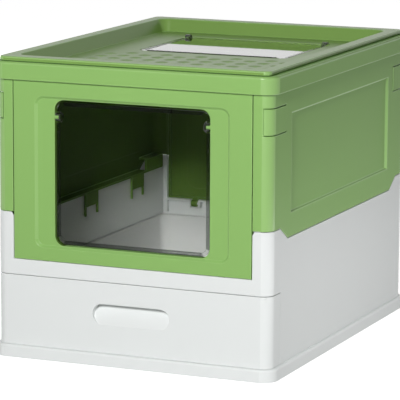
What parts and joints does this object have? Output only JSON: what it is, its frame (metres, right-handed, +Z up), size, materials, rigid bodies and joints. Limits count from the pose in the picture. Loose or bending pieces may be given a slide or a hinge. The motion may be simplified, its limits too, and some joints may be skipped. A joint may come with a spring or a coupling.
{
  "type": "drawer litter box",
  "caption": "Enclosed cat litter box: white lower body with pull-out litter drawer, green walls, clear swinging door flap, and a lift-off lid with a litter-catching tray and top exit flap.",
  "frame": {"origin": "on the floor, under the middle of the box", "axes": "X across the width, Y from the doorway at -Y to the back, Z up"},
  "size_m": [0.365, 0.476, 0.365],
  "materials": {
    "white_shell": "fine satin moulded polypropylene",
    "green_shell": "satin moulded polypropylene, slightly glossy on the lid",
    "smoky_clear": "clear smoky polystyrene, polished"
  },
  "bodies": {
    "base": {"base_plate": "white_shell", "base_frame": "white_shell", "left_side_panel": "green_shell", "right_side_panel": "green_shell", "front_left_clip": "green_shell", "front_right_clip": "green_shell", "back_left_clip": "green_shell", "back_right_clip": "green_shell"},
    "drawer": {"drawer_tub": "white_shell", "drawer_front": "white_shell"},
    "front_wall": {"front_panel": "green_shell"},
    "front_door": {"front_flap": "smoky_clear"},
    "back_wall": {"back_panel": "green_shell"},
    "lid_frame": {"top_frame": "green_shell"},
    "lid_tray": {"top_tray": "green_shell"},
    "top_door": {"top_flap": "smoky_clear"}
  },
  "joints": [
    {"name": "drawer_slide", "type": "slide", "parent": "base", "child": "drawer", "axis": [0, -1, 0], "range_m": [0, 0.4]},
    {"name": "lid_lift", "type": "slide", "parent": "base", "child": "lid_frame", "axis": [0, 0, 1], "range_m": [0, 0.45]},
    {"name": "front_panel_fold", "type": "hinge", "parent": "base", "child": "front_wall", "pos_m": [0, -0.224, 0.116], "axis": [-1, 0, 0], "range_deg": [0, 90]},
    {"name": "back_panel_fold", "type": "hinge", "parent": "base", "child": "back_wall", "pos_m": [0, 0.224, 0.116], "axis": [1, 0, 0], "range_deg": [0, 86]},
    {"name": "front_flap_swing", "type": "hinge", "parent": "front_wall", "child": "front_door", "pos_m": [0, -0.2272, 0.2954], "axis": [-1, 0, 0], "range_deg": [-80, 80]},
    {"name": "tray_lift", "type": "slide", "parent": "lid_frame", "child": "lid_tray", "axis": [0, 0, 1], "range_m": [0, 0.06]},
    {"name": "top_flap_swing", "type": "hinge", "parent": "lid_tray", "child": "top_door", "pos_m": [0, 0.157, 0.3471], "axis": [-1, 0, 0], "range_deg": [0, 100]}
  ],
  "couplings": [
    {"joint": "front_panel_fold", "follows": "lid_lift", "rad_per_m": 3.4906},
    {"joint": "back_panel_fold", "follows": "lid_lift", "rad_per_m": 3.3354}
  ]
}
